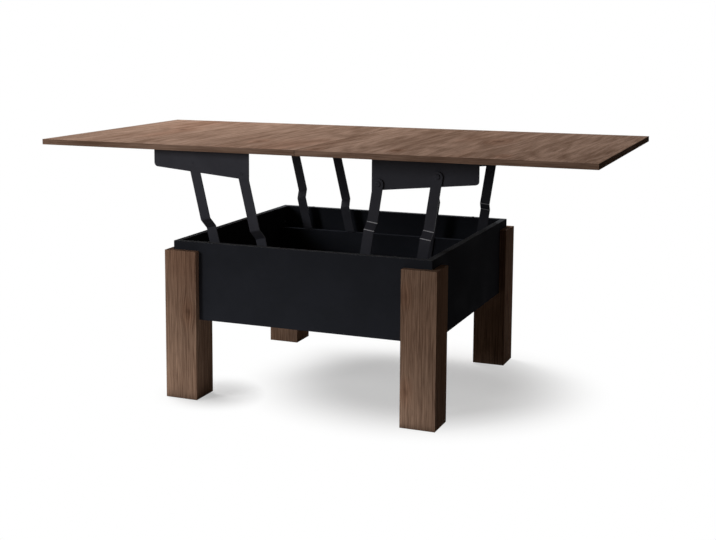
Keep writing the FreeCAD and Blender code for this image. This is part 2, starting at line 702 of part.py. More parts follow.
def right_plates():
    """Right support frame: plates, tie bars, pads, rivets and washers."""
    body, tools = hanging_plate("right")
    for i, seat in enumerate(tie_screw_places()):
        tools.append(rod("right_flange_hole_%d" % i, moved(seat, "+Z", "overrun"), "-Z",
                         "screw_radius + fit_gap", "plate_thick + 2 * overrun"))
    seat = ("right_plate_start + right_plate_length - stud_inset", "-right_plate_face",
            "underside - stud_drop")
    tools.append(rod("stud_hole", moved(seat, "-Y", "overrun"), "+Y", "stud_radius + fit_gap",
                     "plate_thick + 2 * overrun"))
    front = keep("right_plate_front", cut("right_plate_front_cut", body, tools))
    keep("right_plate_back", mirrored("right_plate_back_mirror", front, ACROSS_FRONT))
    top_pins("right", [fastener("corner_stud", seat, "+Y", ("stud_head_radius", "stud_head_height"),
                                ("stud_radius", "plate_thick"))])
    pilot = ("screw_radius + fit_gap", "screw_length + overrun")
    pilots = [rod("tie_pilot_%d" % i, seat, "-Z", *pilot) for i, seat in enumerate(tie_screw_places())]
    pilots = mirror_pair("tie_pilots", pilots, ACROSS_FRONT)
    bars = [block("tie_bar_%d" % i, ("%s - tie_width / 2" % middle, "-right_plate_face + plate_thick",
                                     "right_plate_top - plate_thick - tie_thick"),
                  ("tie_width", "2 * (right_plate_face - plate_thick)", "tie_thick"))
            for i, middle in enumerate(tie_middles())]
    keep("right_tie_bars", cut("right_tie_bars_cut", group("tie_bar_blanks", bars), pilots))
    screws = [fastener("tie_screw_%d" % i, seat, "-Z", ("screw_head_radius", "screw_head_height"),
                       ("screw_radius", "screw_length")) for i, seat in enumerate(tie_screw_places())]
    both_sides("tie_bar_screws", screws)
    strip = block("pad_strip", ("right_plate_start + pad_inset", "-right_plate_face + fold_radius",
                                "right_plate_top"),
                  ("right_plate_length - 2 * pad_inset", "flange_width - fold_radius", "pad_thick"))
    clear = [rod("pad_hole_%d" % i, moved(seat, "-Z", "overrun"), "+Z", "screw_head_radius + side_play",
                 "pad_thick + 2 * overrun") for i, seat in enumerate(tie_screw_places())]
    both_sides("support_pads", [cut("pad_strip_cut", strip, clear)])


def top_pins(side, others):
    """Upper pivot rivets, flush with the plate's far face, their washers, and a plate's other rivets."""
    pins, washers = list(others), []
    for hand in ("outer", "inner"):
        seat, axis = top_pivot(side, hand)
        out = turned(axis)
        name = "%s_%s_top" % (side, hand)
        reach = "arm_gap + arm_thick + side_play"
        shank = ("pivot_radius", "%s + plate_thick" % reach)
        pins.append(fastener(name + "_rivet", moved(seat, out, reach), axis, PIVOT_HEAD, shank))
        washers.append(washer(name + "_washer", seat, out))
    both_sides(side + "_top_pins", pins)
    both_sides(side + "_top_washers", washers)


# Leaves

def hinge_cups(name, radius_text, length_text):
    """Rods where the hinge cups sit in the left leaf's seam edge."""
    middle = "underside + leaf_thick / 2"
    return [rod("%s_%d" % (name, i), ("-seam_gap / 2", along, middle), "-X", radius_text, length_text)
            for i, along in enumerate(("-hinge_reach", "0", "hinge_reach"))]


def leaves():
    """Left and right leaf boards, and the barrel hinges between them."""
    blank = board("leaf", ("-leaf_length", "-leaf_depth / 2", "underside"),
                  ("leaf_length - seam_gap / 2", "leaf_depth", "leaf_thick"))
    seats = hinge_cups("hinge_seat", "hinge_radius + fit_gap", "hinge_depth")
    plain = cut("leaf_with_seats", blank, seats)
    pilots = [rod("plate_pilot_%d" % i, seat, "+Z", "screw_radius + fit_gap", "screw_length")
              for i, seat in enumerate(plate_screw_places())]
    keep("left_leaf_board", cut("left_leaf_cut", plain, mirror_pair("plate_pilots", pilots, ACROSS_FRONT)))
    keep("right_leaf_board", mirrored("right_leaf_mirror", plain, ACROSS_SIDE))
    shells = group("hinge_shells", hinge_cups("hinge_shell", "hinge_radius", "hinge_depth"))
    hollows = hinge_cups("hinge_hollow", "hinge_radius - hinge_wall", "hinge_depth - hinge_floor")
    left_cups = keep("left_hinge_cups", cut("left_hinge_cups_cut", shells, hollows))
    keep("right_hinge_cups", mirrored("right_hinge_cups_mirror", left_cups, ACROSS_SIDE))
    back = "-seam_gap / 2 - hinge_depth + hinge_floor"
    low = "underside + leaf_thick / 2 - link_size / 2"
    packs = [block("link_pack_%d" % i, (back, "%s - link_size / 2" % along, low),
                   ("link_length", "link_size", "link_size"))
             for i, along in enumerate(("-hinge_reach", "0", "hinge_reach"))]
    keep("hinge_links", group("hinge_links_group", packs))


def check_and_write():
    """Stop if any object failed, then write each piece to its own file."""
    doc.recompute()
    failed = [obj.Name for obj in doc.Objects if "Invalid" in obj.State or "Error" in obj.State]
    if failed:
        raise RuntimeError("failed objects: " + ", ".join(failed))
    os.makedirs("parts", exist_ok=True)
    for label, obj in nodes.items():
        if obj.Shape.isNull() or not obj.Shape.isValid():
            raise RuntimeError("no valid shape: " + label)
        obj.Shape.exportStep("parts/%s.step" % label)
        print("%s: %d solids, %.0f mm3" % (label, len(obj.Shape.Solids), obj.Shape.Volume))


def main():
    """Build every sub-part, then write them."""
    box_walls()
    rails()
    box_fixings()
    rim_bumpers()
    legs()
    for side in ("left", "right"):
        arm(side, "outer")
        arm(side, "inner")
        base_pivots(side)
    arm_stops()
    left_plates()
    right_plates()
    leaves()
    check_and_write()


main()
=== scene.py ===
"""Dressed model of a convertible coffee and dining table.

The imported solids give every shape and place.  This script gives them finishes, puts detailed fasteners,
glides, bumpers and hinge links in place of the plain ones, and sets up the studio.  Metres, in the solids'
frame: the origin is on the floor under the middle of the table, +X runs along the unfolded top and the
front is at -Y.
"""

import json
import logging
import math
from dataclasses import dataclass, field, replace
from enum import Enum
from itertools import product
from typing import Iterable, Sequence, Union

import bmesh
import bpy
from mathutils import Matrix, Vector

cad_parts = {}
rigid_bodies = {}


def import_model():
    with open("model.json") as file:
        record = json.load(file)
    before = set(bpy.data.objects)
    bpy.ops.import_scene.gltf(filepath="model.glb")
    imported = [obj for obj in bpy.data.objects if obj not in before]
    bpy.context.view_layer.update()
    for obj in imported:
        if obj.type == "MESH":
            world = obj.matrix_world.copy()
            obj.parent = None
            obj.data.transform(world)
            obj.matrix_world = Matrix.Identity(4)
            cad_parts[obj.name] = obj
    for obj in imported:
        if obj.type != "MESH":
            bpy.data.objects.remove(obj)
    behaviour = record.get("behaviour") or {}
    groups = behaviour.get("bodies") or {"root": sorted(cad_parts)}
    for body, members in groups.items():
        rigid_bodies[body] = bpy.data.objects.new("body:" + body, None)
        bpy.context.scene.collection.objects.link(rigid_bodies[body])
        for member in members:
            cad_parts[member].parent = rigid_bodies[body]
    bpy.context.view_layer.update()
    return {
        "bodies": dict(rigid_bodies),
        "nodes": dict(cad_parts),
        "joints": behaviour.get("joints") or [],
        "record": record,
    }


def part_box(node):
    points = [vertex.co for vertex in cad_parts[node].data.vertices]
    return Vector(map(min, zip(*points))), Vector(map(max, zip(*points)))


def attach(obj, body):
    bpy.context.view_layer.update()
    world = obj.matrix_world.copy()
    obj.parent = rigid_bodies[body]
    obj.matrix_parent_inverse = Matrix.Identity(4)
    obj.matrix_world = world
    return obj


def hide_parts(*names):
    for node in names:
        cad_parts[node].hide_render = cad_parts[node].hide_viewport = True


Colour = tuple[float, float, float, float]
Point = tuple[float, float, float]
Span = tuple[float, float]
BMesh = bmesh.types.BMesh
Material = bpy.types.Material
Node = bpy.types.Node
Socket = bpy.types.NodeSocket
Tree = bpy.types.NodeTree
Value = Union[float, Sequence[float], Socket]

LOG = logging.getLogger("table")
WHITE: Colour = (1.0, 1.0, 1.0, 1.0)
RISING: Span = (0.0, 1.0)
FALLING: Span = (1.0, 0.0)
BOTH_WAYS = (-1, 1)

# Numbers of a Mix node's sockets: the share and the two values, and then the result.
NUMBER_MIX = (0, 2, 3)
NUMBER_RESULT = 0
COLOUR_MIX = (0, 6, 7)
COLOUR_RESULT = 2


class Slot(Enum):
    """Material slots of the record."""

    TOP_WOOD = "top_wood"
    LEG_WOOD = "leg_wood"
    BLACK_BOARD = "black_board"
    BLACK_STEEL = "black_steel"
    ZINC = "zinc"
    DOWEL_WOOD = "dowel_wood"
    BLACK_PLASTIC = "black_plastic"
    BLACK_RUBBER = "black_rubber"
    HINGE_BRASS = "hinge_brass"


class SocketKind(Enum):
    """Kinds of sockets on a node group."""

    NUMBER = "NodeSocketFloat"
    VECTOR = "NodeSocketVector"
    COLOUR = "NodeSocketColor"


NUMBER, VECTOR, COLOUR = SocketKind


class GrainLayout(Enum):
    """How the grain lies on a wooden piece."""

    LEAF = "along the depth on the faces, along the edges on the edge band"
    POST = "upright"
    ROD = "along the depth"


class Drive(Enum):
    """Recess in the head of a fastener."""

    HEX = "hexagon socket"
    CROSS = "cross recess"
    DIMPLE = "round dimple of a rivet"


class Side(Enum):
    """The two lift linkages."""

    LEFT = "left"
    RIGHT = "right"


def paint(*levels: int) -> Colour:
    """Linear colour from the 8-bit values that a screen shows.

    Args:
        levels: Red, green and blue, 0 to 255.

    Returns:
        The linear colour with full alpha.
    """
    toe, slope, lift, power = 0.04045, 12.92, 0.055, 2.4
    shares = [level / 255 for level in levels]
    linear = [share / slope if share <= toe else ((share + lift) / (1 + lift)) ** power for share in shares]
    return (*linear, 1.0)


@dataclass(frozen=True)
class Cloud:
    """A cloud pattern: how fast it changes along each coordinate, its finer layers and their strength."""

    scale: Point
    detail: float = 2.0
    rough: float = 0.5


class Graph:
    """Adds and links the nodes of one shader tree."""

    def __init__(self, tree: Tree) -> None:
        """Work on the tree of a material or a group."""
        self.tree = tree

    def node(self, kind: str, inputs: Union[dict, None] = None, **settings: object) -> Node:
        """Add a node.

        Args:
            kind: Blender's name of the node type.
            inputs: Links or constants for its inputs, by name or number.
            settings: Properties to set on the node.

        Returns:
            The new node.
        """
        made = self.tree.nodes.new(kind)
        for name, setting in settings.items():
            setattr(made, name, setting)
        for key, value in (inputs or {}).items():
            self.feed(made.inputs[key], value)
        return made

    def feed(self, socket: Socket, value: Value) -> None:
        """Link a socket, or set its constant.

        Args:
            socket: The input.
            value: Another node's output, or the constant.
        """
        if isinstance(value, Socket):
            self.tree.links.new(value, socket)
        else:
            socket.default_value = value

    def math(self, operation: str, first: Value, second: Value = 0.0) -> Socket:
        """Combine two numbers."""
        return self.node("ShaderNodeMath", {0: first, 1: second}, operation=operation).outputs[0]

    def vector(self, operation: str, first: Value, second: Value = (0.0, 0.0, 0.0)) -> Socket:
        """Combine two vectors, to a number for a length or a dot product and to a vector otherwise."""
        made = self.node("ShaderNodeVectorMath", {0: first, 1: second}, operation=operation)
        return made.outputs["Value" if operation in ("LENGTH", "DOT_PRODUCT") else "Vector"]

    def combine(self, across: Value, other: Value, along: Value) -> Socket:
        """Make a vector from three numbers."""
        return self.node("ShaderNodeCombineXYZ", {"X": across, "Y": other, "Z": along}).outputs[0]

    def separate(self, vector: Value) -> tuple[Socket, ...]:
        """Split a vector into its three numbers."""
        return tuple(self.node("ShaderNodeSeparateXYZ", {0: vector}).outputs)

    def weighted(self, *parts: tuple[Value, float]) -> Value:
        """Add up numbers, each times its weight.

        Args:
            parts: The numbers and their weights.

        Returns:
            The sum.
        """
        total: Value = 0.0
        for part, weight in parts:
            total = self.math("ADD", total, self.math("MULTIPLY", part, weight))
        return total

    def blend(self, share: Value, first: Value, second: Value, mode: str = "MIX") -> Socket:
        """Blend a share of the second colour into the first."""
        inputs = dict(zip(COLOUR_MIX, (share, first, second)))
        return self.node("ShaderNodeMix", inputs, data_type="RGBA", blend_type=mode).outputs[COLOUR_RESULT]

    def choose(self, share: Value, first: Value, second: Value) -> Socket:
        """Go a share of the way from the first number to the second."""
        inputs = dict(zip(NUMBER_MIX, (share, first, second)))
        return self.node("ShaderNodeMix", inputs, data_type="FLOAT").outputs[NUMBER_RESULT]

    def noise(self, vector: Value, cloud: Cloud, output: str = "Fac") -> Socket:
        """Draw a cloud pattern over coordinates."""
        inputs = {"Vector": self.vector("MULTIPLY", vector, cloud.scale), "Scale": 1.0,
                  "Detail": cloud.detail, "Roughness": cloud.rough}
        return self.node("ShaderNodeTexNoise", inputs).outputs[output]

    def remap(self, value: Value, old: Span, new: tuple[Value, Value]) -> Socket:
        """Stretch a number smoothly from an old range to a new one, and hold it there."""
        inputs = {"Value": value, "From Min": old[0], "From Max": old[1], "To Min": new[0], "To Max": new[1]}
        return self.node("ShaderNodeMapRange", inputs, interpolation_type="SMOOTHSTEP").outputs["Result"]

    def use(self, group: Tree, **inputs: Value) -> Node:
        """Place a node group, with its inputs by name."""
        return self.node("ShaderNodeGroup", inputs, node_tree=group)


class EffectGroup(Graph):
    """A node group with named sockets."""

    def __init__(self, name: str, inputs: dict[SocketKind, str], outputs: dict[SocketKind, str]) -> None:
        """Open an empty group.

        Args:
            name: Name of the group.
            inputs: Names of its inputs of each kind, with spaces between them.
            outputs: Names of its outputs of each kind, with spaces between them.
        """
        super().__init__(bpy.data.node_groups.new(name, "ShaderNodeTree"))
        for way, sockets in (("INPUT", inputs), ("OUTPUT", outputs)):
            for kind, labels in sockets.items():
                for label in labels.split():
                    self.tree.interface.new_socket(name=label, in_out=way, socket_type=kind.value)
        self.start = self.node("NodeGroupInput")
        self.end = self.node("NodeGroupOutput")

    def given(self, name: str) -> Socket:
        """The value of an input, inside the group."""
        return self.start.outputs[name]

    def give(self, name: str, value: Socket) -> None:
        """Send a value to an output."""
        self.feed(self.end.inputs[name], value)


@dataclass
class Effects:
    """The shader effects that several finishes share."""

    sway: Cloud = Cloud((2.3, 2.3, 2.2))
    sway_middle: Point = (0.5, 0.5, 0.5)
    cloud: Cloud = Cloud((6.5, 6.5, 0.9), 1.5)
    figure: Cloud = Cloud((17.0, 17.0, 2.0), 6.0, 0.7)
    swell: Cloud = Cloud((6.0, 6.0, 0.6), 0.5)
    fibre: Cloud = Cloud((380.0, 380.0, 5.0), 3.0, 0.6)
    pore: Cloud = Cloud((800.0, 800.0, 17.0), 1.0)
    stain: Cloud = Cloud((4.1, 4.1, 1.6))
    growth_lines: float = 17.0
    tone_weights: tuple[float, ...] = (0.22, 0.38, 0.08, 0.32)
    tone_range: Span = (0.35, 0.65)
    tone_height: float = 0.5
    wood_roughness: Span = (0.60, 0.50)
    pore_range: Span = (0.56, 0.72)
    pore_share: float = 0.4
    stain_range: Span = (0.50, 0.72)
    stain_share: float = 0.6
    knot_share: float = 0.8
    knot_tear: Cloud = Cloud((110.0, 110.0, 28.0), 3.0)
    knot_tear_reach: float = 1.5
    knot_shape: Point = (1.0, 1.0, 0.45)
    knot_core: Span = (0.6, 1.9)
    pull_range: Span = (0.2, 3.4)
    pull_share: float = 0.7
    halo_range: Span = (1.0, 4.0)
    halo_share: float = 0.75
    pebble: Cloud = Cloud((1.0, 1.0, 1.0), 3.0, 0.55)
    handling: Cloud = Cloud((1.0, 1.0, 1.0), 5.0, 0.62)
    speck_range: Span = (0.3, 0.7)
    mark_range: Span = (0.36, 0.68)
    # Ragged edge and width of the painted highlight lines at arm bends.
    highlight_tear: Cloud = Cloud((220.0, 220.0, 220.0))
    highlight_tear_reach: float = 0.0012
    highlight_width: Span = (0.0010, 0.0022)
    side_plane: Point = (1.0, 0.0, 1.0)
    wood_grain: Tree = field(init=False)
    knot: Tree = field(init=False)
    fine_relief: Tree = field(init=False)
    bend_highlights: Tree = field(init=False)

    def __post_init__(self) -> None:
        """Build each effect once."""
        self._build_wood_grain()
        self._build_knot()
        self._build_fine_relief()
        self._build_bend_highlights()

    def _build_wood_grain(self) -> None:
        """Wood grain along the third coordinate: figure, growth lines, fibres, pores, knots and stains."""
        graph = EffectGroup(
            "wood_grain",
            {VECTOR: "Vector", NUMBER: "Fineness Shortness Sway Knot Halo", COLOUR: "Light Dark Warm Pore"},
            {COLOUR: "Color", NUMBER: "Roughness Height"})
        given = graph.given
        fine, reach = given("Fineness"), given("Sway")
        sway = graph.vector("SUBTRACT", graph.noise(given("Vector"), self.sway, "Color"), self.sway_middle)
        sway = graph.vector("MULTIPLY", sway, graph.combine(reach, reach, 0.0))
        vector = graph.vector("ADD", given("Vector"), sway)
        narrow = graph.vector("MULTIPLY", vector, graph.combine(fine, fine, given("Shortness")))
        swell = graph.math("MULTIPLY", graph.noise(narrow, self.swell), self.growth_lines)
        tones = (graph.noise(vector, self.cloud), graph.noise(narrow, self.figure),
                 graph.math("PINGPONG", swell, 1.0), graph.noise(vector, self.fibre))
        tone = graph.remap(graph.weighted(*zip(tones, self.tone_weights)), self.tone_range, RISING)
        pores = graph.remap(graph.noise(vector, self.pore), self.pore_range, RISING)
        stain = graph.remap(graph.noise(vector, self.stain), self.stain_range, (0.0, self.stain_share))
        colour = graph.blend(tone, given("Dark"), given("Light"))
        colour = graph.blend(graph.math("MAXIMUM", stain, given("Halo")), colour, given("Warm"), "MULTIPLY")
        for mask, share in ((pores, self.pore_share), (given("Knot"), self.knot_share)):
            colour = graph.blend(graph.math("MULTIPLY", mask, share), colour, given("Pore"))
        graph.give("Color", colour)
        graph.give("Roughness", graph.remap(tone, RISING, self.wood_roughness))
        graph.give("Height", graph.math("SUBTRACT", graph.math("MULTIPLY", tone, self.tone_height), pores))
        self.wood_grain = graph.tree

    def _build_knot(self) -> None:
        """One knot: a ragged dark oval, a stain about it, and grain that flows round it."""
        graph = EffectGroup("knot", {VECTOR: "Vector Centre", NUMBER: "Radius Strength"},
                            {VECTOR: "Vector", NUMBER: "Mask Halo"})
        given = graph.given
        offset = graph.vector("SUBTRACT", given("Vector"), given("Centre"))
        reach = graph.vector("LENGTH", graph.vector("MULTIPLY", offset, self.knot_shape))
        reach = graph.math("DIVIDE", reach, given("Radius"))
        tear = graph.math("MULTIPLY", graph.noise(given("Vector"), self.knot_tear), self.knot_tear_reach)
        torn = graph.math("ADD", reach, tear)
        keep = graph.math("SUBTRACT", 1.0, graph.remap(reach, self.pull_range, (self.pull_share, 0.0)))
        drawn = graph.vector("MULTIPLY", offset, graph.combine(keep, keep, 1.0))
        graph.give("Vector", graph.vector("ADD", given("Centre"), drawn))
        core = graph.remap(torn, self.knot_core, FALLING)
        graph.give("Mask", graph.math("MULTIPLY", core, given("Strength")))
        graph.give("Halo", graph.remap(torn, self.halo_range, (self.halo_share, 0.0)))
        self.knot = graph.tree

    def _build_fine_relief(self) -> None:
        """Fine surface texture: a pebbled height, its specks, and slow handling marks."""
        graph = EffectGroup("fine_relief", {VECTOR: "Vector", NUMBER: "Grain Marks"},
                            {NUMBER: "Height Speck Mark"})
        given = graph.given
        grain = graph.noise(graph.vector("MULTIPLY", given("Vector"), given("Grain")), self.pebble)
        marks = graph.noise(graph.vector("MULTIPLY", given("Vector"), given("Marks")), self.handling)
        graph.give("Height", grain)
        graph.give("Speck", graph.remap(grain, self.speck_range, RISING))
        graph.give("Mark", graph.remap(marks, self.mark_range, RISING))
        self.fine_relief = graph.tree

    def _build_bend_highlights(self) -> None:
        """Painted highlight: ragged light lines across a flat bar at its two bends."""
        graph = EffectGroup("bend_highlights", {VECTOR: "Vector Pivot Down", NUMBER: "First Second Half"},
                            {NUMBER: "Mask"})
        given = graph.given
        offset = graph.vector("SUBTRACT", given("Vector"), given("Pivot"))
        offset = graph.vector("MULTIPLY", offset, self.side_plane)
        below = graph.vector("DOT_PRODUCT", offset, given("Down"))
        beside = graph.vector("LENGTH", graph.vector("CROSS_PRODUCT", offset, given("Down")))
        gaps = [graph.math("ABSOLUTE", graph.math("SUBTRACT", below, given(bend)))
                for bend in ("First", "Second")]
        tear = graph.math("MULTIPLY", graph.noise(given("Vector"), self.highlight_tear), self.highlight_tear_reach)
        line = graph.remap(graph.math("ADD", graph.math("MINIMUM", *gaps), tear), self.highlight_width, FALLING)
        graph.give("Mask", graph.math("MULTIPLY", line, graph.math("LESS_THAN", beside, given("Half"))))
        self.bend_highlights = graph.tree


class Shader(Graph):
    """A new material with its Principled shader."""

    def __init__(self, name: str) -> None:
        """Make the material under a name."""
        self.material = bpy.data.materials.new(name)
        self.material.use_nodes = True
        super().__init__(self.material.node_tree)
        self.surface = self.tree.nodes["Principled BSDF"]

    def set(self, **values: Value) -> None:
        """Set or link the shader's sockets, with underscores for the spaces in their names."""
        for name, value in values.items():
            self.feed(self.surface.inputs[name.replace("_", " ")], value)

    def place(self) -> Socket:
        """The piece's own coordinates."""
        return self.node("ShaderNodeTexCoord").outputs["Object"]

    def bump(self, height: Socket, depth: float) -> None:
        """Give the surface relief of a depth in metres."""
        made = self.node("ShaderNodeBump", {"Strength": 1.0, "Distance": depth, "Height": height})
        self.set(Normal=made.outputs["Normal"])


@dataclass(frozen=True)
class Knot:
    """A knot in a wooden face: its place in grain coordinates, its size and how dark it is."""

    centre: Point
    radius: float
    strength: float = 0.8


@dataclass(frozen=True)
class WoodFinish:
    """Wood-grain laminate, or plain wood."""

    slot: Slot
    light: Colour
    dark: Colour
    pore: Colour
    layout: GrainLayout
    gloss: float
    relief: float
    fineness: float = 1.0
    shortness: float = 1.0
    sway: float = 0.022
    warm: Colour = (0.92, 0.79, 0.73, 1.0)
    # The edge band's own slight tone on the long edges, and painted shade on the leaf ends.
    edge_tint_and_shade: Colour = (0.20, 0.20, 0.20, 1.0)
    side_share: float = 0.04
    end_painted_shade: float = 0.72
    side_layer: float = 2.3
    leaf_layer: float = 0.9
    knots: tuple[Knot, ...] = ()
    edge_band: float = 0.0009
    leaf_length: float = 0.82
    leaf_half_depth: float = 0.41

    def material(self, effects: Effects) -> Material:
        """Make the material.

        Args:
            effects: The shared effects.

        Returns:
            The material.
        """
        shader = Shader(self.slot.value)
        vector, edge = self._grain_coordinates(shader)
        knots: Value = 0.0
        halo: Value = 0.0
        for knot in self.knots:
            made = shader.use(effects.knot, Vector=vector, Centre=knot.centre, Radius=knot.radius,
                              Strength=knot.strength)
            vector = made.outputs["Vector"]
            knots = shader.math("MAXIMUM", knots, made.outputs["Mask"])
            halo = shader.math("MAXIMUM", halo, made.outputs["Halo"])
        grain = shader.use(effects.wood_grain, Vector=vector, Fineness=self.fineness,
                           Shortness=self.shortness, Sway=self.sway, Light=self.light, Dark=self.dark,
                           Warm=self.warm, Pore=self.pore, Knot=knots, Halo=halo)
        colour = grain.outputs["Color"]
        if edge is not None:
            # Darkens the long edges a little for the band's own tone, and the leaf ends much more as painted
            # shade.
            colour = shader.blend(edge, colour, self.edge_tint_and_shade, "MULTIPLY")
        shader.set(Base_Color=colour, Roughness=grain.outputs["Roughness"], Specular_IOR_Level=self.gloss)
        shader.bump(grain.outputs["Height"], self.relief)
        return shader.material

    def _grain_coordinates(self, shader: Shader) -> tuple[Socket, Union[Socket, None]]:
        """Coordinates with the grain along the third one, and how dark the edge band is, with painted shade
        on the leaf ends.

        Args:
            shader: The material in the making.

        Returns:
            The coordinates, and the share of the edge tone and painted end shade, or nothing.
        """
        if self.layout is GrainLayout.POST:
            return shader.place(), None
        x, y, z = shader.separate(shader.place())
        if self.layout is GrainLayout.ROD:
            return shader.combine(x, z, y), None
        from_seam = shader.math("ABSOLUTE", x)
        from_end = shader.math("MINIMUM", from_seam, shader.math("SUBTRACT", self.leaf_length, from_seam))
        from_side = shader.math("SUBTRACT", self.leaf_half_depth, shader.math("ABSOLUTE", y))
        on_end = shader.math("LESS_THAN", from_end, self.edge_band)
        on_side = shader.math("LESS_THAN", from_side, self.edge_band)
        right_leaf = shader.math("GREATER_THAN", x, 0.0)
        along = shader.choose(on_side, y, x)
        across = shader.choose(shader.math("MAXIMUM", on_end, on_side), x, z)
        layer = shader.weighted((on_side, self.side_layer), (right_leaf, self.leaf_layer))
        # The long edges get the band's slight tone; the leaf ends get painted shade.
        band_tone_and_end_shade = shader.math("MAXIMUM", shader.math("MULTIPLY", on_side, self.side_share),
                            shader.math("MULTIPLY", on_end, self.end_painted_shade))
        return shader.combine(across, layer, along), band_tone_and_end_shade


@dataclass(frozen=True)
class BentArm:
    """Where a flat bar is bent: its upper pivot, the way down it, the two bends below and the half width."""

    pivot: Point
    down: Point
    bends: Span
    half_width: float


@dataclass(frozen=True)
class FineFinish:
    """What coats and metals share: two colours, a span of roughness, and fine relief with handling marks."""

    slot: Slot
    low: Colour
    high: Colour
    roughness: Span
    grain: float
    marks: float
    relief: float

    def _opened(self, effects: Effects) -> tuple[Shader, Socket, Node]:
        """Open the material and give it its relief.

        Args:
            effects: The shared effects.

        Returns:
            The material in the making, its coordinates and its fine relief.
        """
        shader = Shader(self.slot.value)
        place = shader.place()
        fine = shader.use(effects.fine_relief, Vector=place, Grain=self.grain, Marks=self.marks)
        shader.bump(fine.outputs["Height"], self.relief)
        return shader, place, fine


@dataclass(frozen=True)
class CoatFinish(FineFinish):
    """A dark coat over board, steel, plastic or rubber, with fine relief, handling marks, a painted highlight
    on the rim and painted highlight lines at bends.
    """

    gloss: float
    speck_share: float = 0.45
    mark_share: float = 0.55
    # Painted highlight: the colour of the top edges above the rim level.
    rim: Union[Colour, None] = None
    rim_level: float = 0.4625
    # Colour of the painted highlight lines at arm bends.
    highlight_colour: Colour = paint(176, 178, 184)
    arms: tuple[BentArm, ...] = ()

    def material(self, effects: Effects) -> Material:
        """Make the material.

        Args:
            effects: The shared effects.

        Returns:
            The material.
        """
        shader, place, fine = self._opened(effects)
        share = shader.weighted((fine.outputs["Speck"], self.speck_share),
                                (fine.outputs["Mark"], self.mark_share))
        colour = shader.blend(share, self.low, self.high)
        # Painted highlight along the panels' top edges.
        if self.rim is not None:
            rim_highlight_mask = shader.math("GREATER_THAN", shader.separate(place)[2], self.rim_level)
            colour = shader.blend(rim_highlight_mask, colour, self.rim)
        # Painted highlight lines across the arms at their bends.
        for arm in self.arms:
            first, second = arm.bends
            highlit = shader.use(effects.bend_highlights, Vector=place, Pivot=arm.pivot, Down=arm.down,
                              First=first, Second=second, Half=arm.half_width)
            colour = shader.blend(highlit.outputs["Mask"], colour, self.highlight_colour)
        shader.set(Base_Color=colour, Roughness=shader.remap(fine.outputs["Mark"], RISING, self.roughness),
                   Specular_IOR_Level=self.gloss)
        return shader.material


@dataclass(frozen=True)
class MetalFinish(FineFinish):
    """Bare or plated metal."""

    def material(self, effects: Effects) -> Material:
        """Make the material.

        Args:
            effects: The shared effects.

        Returns:
            The material.
        """
        shader, _, fine = self._opened(effects)
        shader.set(Base_Color=shader.blend(fine.outputs["Mark"], self.low, self.high), Metallic=1.0,
                   Roughness=shader.remap(fine.outputs["Speck"], RISING, self.roughness))
        return shader.material


Finish = Union[WoodFinish, CoatFinish, MetalFinish]

STEEL_COAT = CoatFinish(Slot.BLACK_STEEL, paint(54, 55, 61), paint(61, 62, 69), (0.34, 0.46), gloss=0.03,
                        grain=1100.0, marks=16.0, relief=0.00002)

FINISHES: tuple[Finish, ...] = (
    WoodFinish(Slot.TOP_WOOD, paint(152, 126, 110), paint(102, 79, 65), paint(60, 44, 35), GrainLayout.LEAF,
               gloss=0.0003, relief=0.00006, fineness=2.0, shortness=2.0,
               knots=(Knot((0.445, 0.9, 0.060), 0.022), Knot((0.560, 0.9, -0.335), 0.011),
                      Knot((0.260, 0.9, -0.310), 0.010), Knot((0.040, 0.9, -0.360), 0.012),
                      Knot((-0.200, 0.0, -0.210), 0.016), Knot((-0.595, 0.0, 0.040), 0.015))),
    WoodFinish(Slot.LEG_WOOD, paint(147, 121, 103), paint(88, 67, 55), paint(50, 36, 28), GrainLayout.POST,
               gloss=0.002, relief=0.00006, fineness=14.0, shortness=4.0, sway=0.010,
               knots=(Knot((-0.336, -0.4085, 0.263), 0.011), Knot((0.321, -0.4085, 0.366), 0.010, 0.3),
                      Knot((0.324, -0.4085, 0.106), 0.009, 0.35), Knot((0.4085, 0.345, 0.215), 0.010, 0.6),
                      Knot((-0.4085, -0.350, 0.160), 0.010), Knot((-0.360, 0.4085, 0.300), 0.010))),
    WoodFinish(Slot.DOWEL_WOOD, paint(214, 180, 136), paint(186, 146, 100), paint(140, 102, 66),
               GrainLayout.ROD, gloss=0.3, relief=0.00003),
    # The black board's rim colour is a painted highlight along the panels' top edges.
    CoatFinish(Slot.BLACK_BOARD, paint(37, 39, 44), paint(42, 44, 50), (0.50, 0.62), gloss=0.0008,
               grain=900.0, marks=9.0, relief=0.00003, rim=paint(78, 80, 84)),
    STEEL_COAT,
    CoatFinish(Slot.BLACK_PLASTIC, paint(30, 30, 31), paint(42, 42, 43), (0.40, 0.52), gloss=0.40,
               grain=1600.0, marks=40.0, relief=0.00003),
    CoatFinish(Slot.BLACK_RUBBER, paint(22, 22, 22), paint(34, 34, 33), (0.70, 0.85), gloss=0.20,
               grain=1300.0, marks=30.0, relief=0.00005),
    MetalFinish(Slot.ZINC, paint(172, 175, 178), paint(204, 206, 208), (0.28, 0.42), grain=2200.0, marks=60.0,
                relief=0.00001),
    MetalFinish(Slot.HINGE_BRASS, paint(196, 158, 92), paint(220, 184, 118), (0.24, 0.38), grain=2000.0,
                marks=70.0, relief=0.00001),
)


